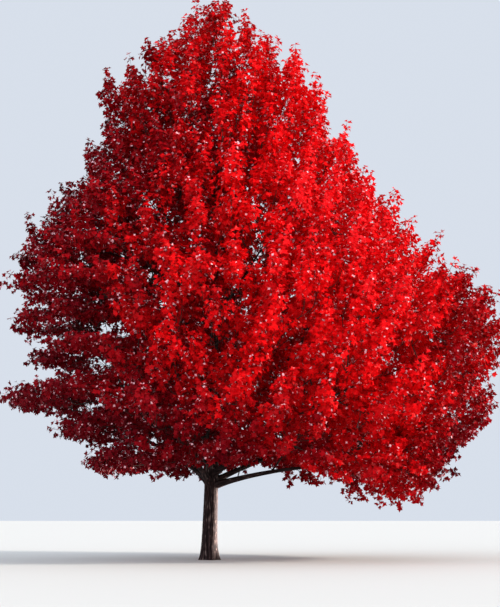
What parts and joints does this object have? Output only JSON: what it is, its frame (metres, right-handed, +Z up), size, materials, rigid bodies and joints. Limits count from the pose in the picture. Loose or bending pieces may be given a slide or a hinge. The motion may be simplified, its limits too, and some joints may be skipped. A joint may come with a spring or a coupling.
{
  "type": "red maple tree",
  "caption": "Broadleaf tree in full red autumn leaf: one tapering trunk with a slight root flare, rising boughs in a spiral, and a broad pointed crown of separate masses of foliage.",
  "frame": {"origin": "centre of the flat cut under the trunk, at ground level", "axes": "+Z up; +X to the right and +Y away from the viewer, as in the picture"},
  "size_m": [9.1784, 8.9831, 10.0392],
  "materials": {
    "bark": "grey-brown bark, fissured",
    "leaves": "scarlet to dark crimson autumn leaves on thin twigs"
  },
  "bodies": {
    "root": {"trunk": "bark", "bough_01": "bark", "bough_02": "bark", "bough_03": "bark", "bough_04": "bark", "bough_05": "bark", "bough_06": "bark", "bough_07": "bark", "bough_08": "bark", "bough_09": "bark", "bough_10": "bark", "bough_11": "bark", "bough_12": "bark", "bough_13": "bark", "bough_14": "bark", "bough_15": "bark", "bough_16": "bark", "bough_17": "bark", "bough_18": "bark", "bough_19": "bark", "bough_20": "bark", "bough_21": "bark", "bough_22": "bark", "bough_23": "bark", "bough_24": "bark", "bough_25": "bark", "bough_26": "bark", "foliage_01": "leaves", "foliage_02": "leaves", "foliage_03": "leaves", "foliage_04": "leaves", "foliage_05": "leaves", "foliage_06": "leaves", "foliage_07": "leaves", "foliage_08": "leaves", "foliage_09": "leaves", "foliage_10": "leaves", "foliage_11": "leaves", "foliage_12": "leaves", "foliage_13": "leaves", "foliage_14": "leaves", "foliage_15": "leaves", "foliage_16": "leaves", "foliage_17": "leaves", "foliage_18": "leaves", "foliage_19": "leaves", "foliage_20": "leaves", "foliage_21": "leaves", "foliage_22": "leaves", "foliage_23": "leaves", "foliage_24": "leaves", "foliage_25": "leaves", "foliage_26": "leaves", "foliage_top": "leaves"}
  },
  "joints": []
}
